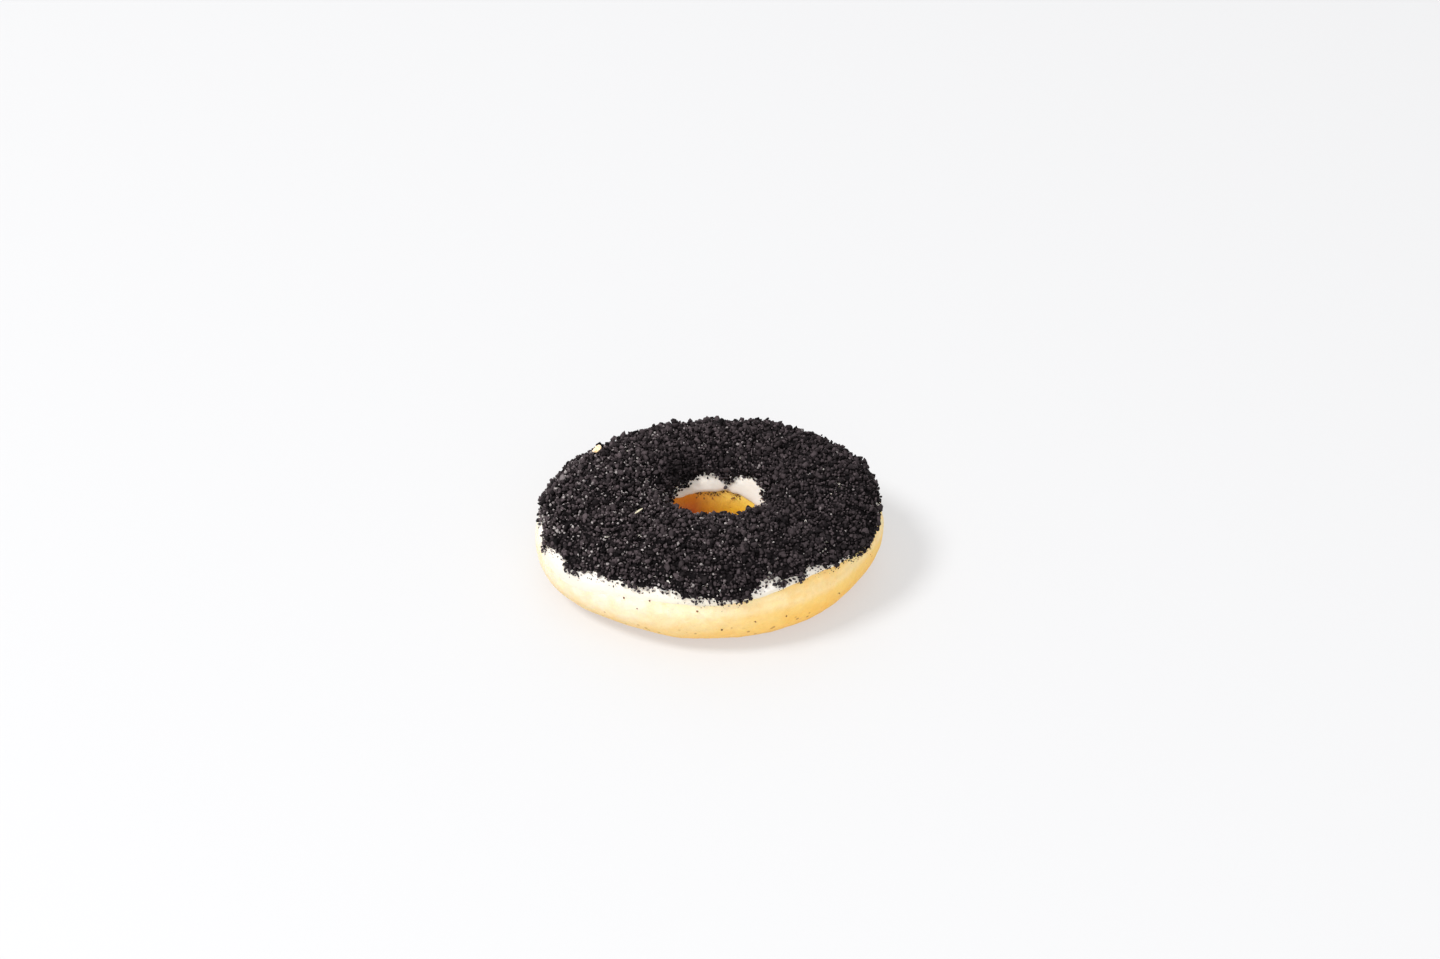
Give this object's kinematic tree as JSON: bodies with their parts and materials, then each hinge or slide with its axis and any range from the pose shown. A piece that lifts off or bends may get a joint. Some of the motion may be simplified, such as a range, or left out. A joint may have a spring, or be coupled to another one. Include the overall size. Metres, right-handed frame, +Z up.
{
  "type": "ring doughnut",
  "caption": "Iced yeast ring doughnut, a broad oval ring with an off-centre hole, its top under a bed of dark biscuit crumbs.",
  "frame": {"origin": "bottom centre of the doughnut, on the surface that it rests on", "axes": "+X along the long side of the oval ring, +Y towards the back, where the hole sits nearer the rim, +Z up"},
  "size_m": [0.0906, 0.0728, 0.0278],
  "materials": {
    "dough": "golden fried crust, satin",
    "icing": "white icing, soft gloss",
    "crumbs": "dry dark biscuit crumbs",
    "pale_chip": "dry pale chip",
    "pale_sliver": "dry pale sliver"
  },
  "bodies": {
    "root": {"dough_ring": "dough", "icing": "icing", "crumb_topping": "crumbs", "crumb_clump_1": "crumbs", "crumb_clump_2": "crumbs", "crumb_clump_3": "crumbs", "crumb_clump_4": "crumbs", "crumb_clump_5": "crumbs", "stray_crumb_1": "crumbs", "stray_crumb_2": "crumbs", "stray_crumb_3": "crumbs", "stray_crumb_4": "crumbs", "stray_crumb_5": "crumbs", "stray_crumb_6": "crumbs", "stray_crumb_7": "crumbs", "stray_crumb_8": "crumbs", "stray_crumb_9": "crumbs", "pale_chip": "pale_chip", "pale_sliver": "pale_sliver"}
  },
  "joints": []
}
